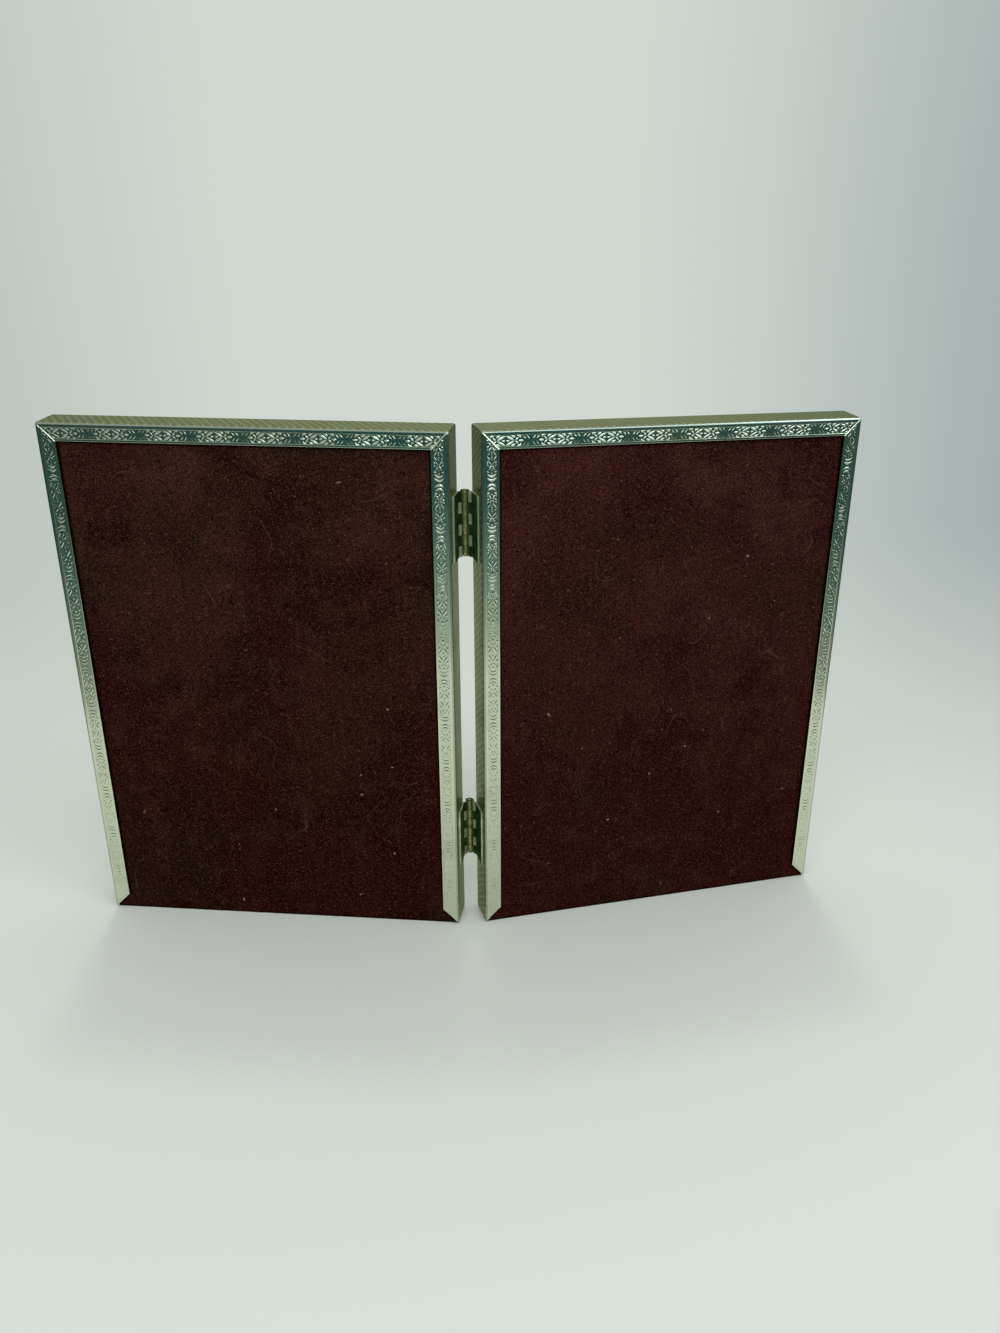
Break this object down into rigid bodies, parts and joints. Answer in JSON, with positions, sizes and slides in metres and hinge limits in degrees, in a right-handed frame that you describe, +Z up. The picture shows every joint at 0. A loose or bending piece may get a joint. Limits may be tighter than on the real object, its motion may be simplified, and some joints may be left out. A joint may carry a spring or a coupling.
{
  "type": "hinged double photo frame",
  "caption": "Folding photo frame of two mitred metal channel leaves joined by butt hinges, each with glass, a print and a velvet-covered back that slides out downwards.",
  "frame": {"origin": "on the floor, at the middle of the footprint of the frame as it stands open", "axes": "+Z up, +X to the right as seen from behind, +Y the way the pictures face"},
  "size_m": [0.2702, 0.0346, 0.182],
  "materials": {
    "channel_metal": "worn pale gilt, embossed border",
    "hinge_metal": "dull tarnished gilt",
    "key_metal": "plain strip",
    "clear_glass": "clear",
    "blank_card": "matt",
    "grey_board": "matt",
    "velvet": "short pile, dark maroon"
  },
  "bodies": {
    "left_frame": {"left_top_rail": "channel_metal", "left_outer_stile": "channel_metal", "left_inner_stile": "channel_metal", "left_bottom_rail": "channel_metal", "left_corner_keys": "key_metal", "left_glass": "clear_glass", "left_photo_print": "blank_card", "left_filler_board": "grey_board", "left_hinge_rivets": "hinge_metal", "upper_hinge_left_leaf": "hinge_metal", "lower_hinge_left_leaf": "hinge_metal", "upper_hinge_pin": "hinge_metal", "lower_hinge_pin": "hinge_metal"},
    "left_back": {"left_back_board": "grey_board", "left_back_velvet": "velvet"},
    "right_frame": {"right_top_rail": "channel_metal", "right_outer_stile": "channel_metal", "right_inner_stile": "channel_metal", "right_bottom_rail": "channel_metal", "right_corner_keys": "key_metal", "right_glass": "clear_glass", "right_photo_print": "blank_card", "right_filler_board": "grey_board", "right_hinge_rivets": "hinge_metal", "upper_hinge_right_leaf": "hinge_metal", "lower_hinge_right_leaf": "hinge_metal"},
    "right_back": {"right_back_board": "grey_board", "right_back_velvet": "velvet"}
  },
  "joints": [
    {"name": "leaf_hinge", "type": "hinge", "parent": "left_frame", "child": "right_frame", "pos_m": [0, -0.00464, 0.091], "axis": [0, 0, 1], "range_deg": [-35, 160.8]},
    {"name": "left_back_slide", "type": "slide", "parent": "left_frame", "child": "left_back", "axis": [0, 0, -1], "range_m": [0, 0.176]},
    {"name": "right_back_slide", "type": "slide", "parent": "right_frame", "child": "right_back", "axis": [0, 0, -1], "range_m": [0, 0.176]}
  ]
}
